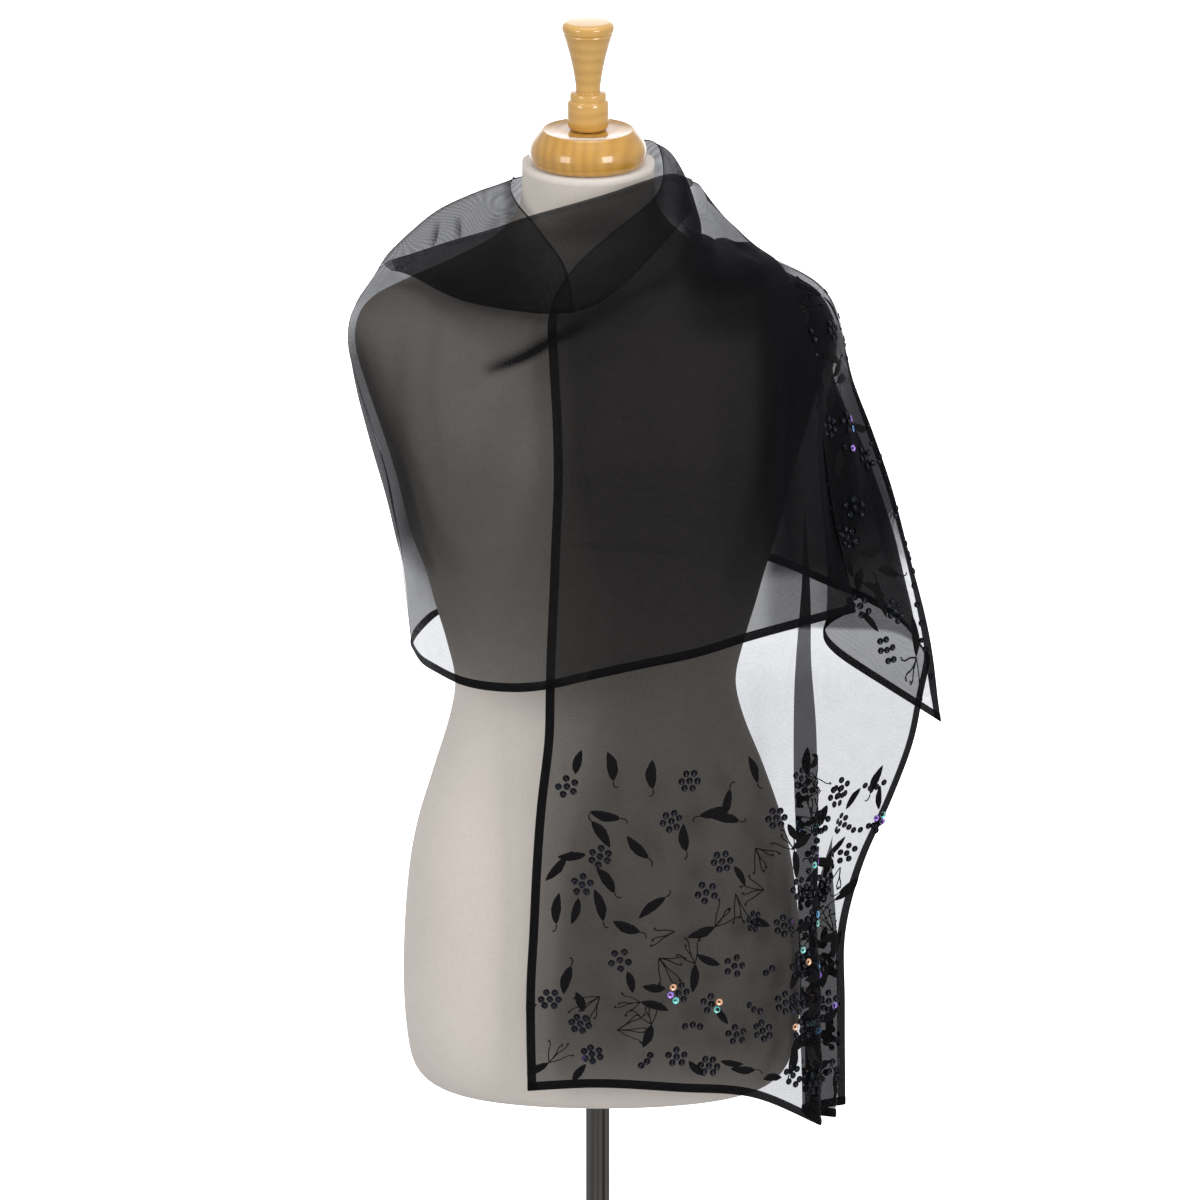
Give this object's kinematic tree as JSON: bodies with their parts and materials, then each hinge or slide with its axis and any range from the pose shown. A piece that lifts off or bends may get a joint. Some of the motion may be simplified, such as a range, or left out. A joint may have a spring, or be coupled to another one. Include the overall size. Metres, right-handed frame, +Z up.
{
  "type": "evening stole draped on a dress form",
  "caption": "Sheer dark evening stole with embroidered, sequinned ends, wound over the shoulders of a padded dress form on a pole stand",
  "frame": {"origin": "centre of the bounding box in x and y, at the bottom of the stand's base", "axes": "+Z up along the pole, the form's chest faces -Y, the form's right side is -X"},
  "size_m": [0.5093, 0.34, 1.4434],
  "materials": {
    "tulle": "sheer dark woven tulle, matte, with narrow turned hems",
    "linen": "plain linen cover of the padded form",
    "wood": "turned light wood, varnished",
    "metal": "polished steel"
  },
  "bodies": {
    "root": {"stand_base": "metal", "stand_pole": "metal", "dress_form_torso": "linen", "neck_cap": "wood", "finial": "wood", "stole_end_front": "tulle", "stole_left_shoulder": "tulle", "stole_back_wrap": "tulle", "stole_front_wrap": "tulle", "stole_cowl_fold": "tulle", "stole_right_shoulder": "tulle", "stole_end_side": "tulle"}
  },
  "joints": []
}
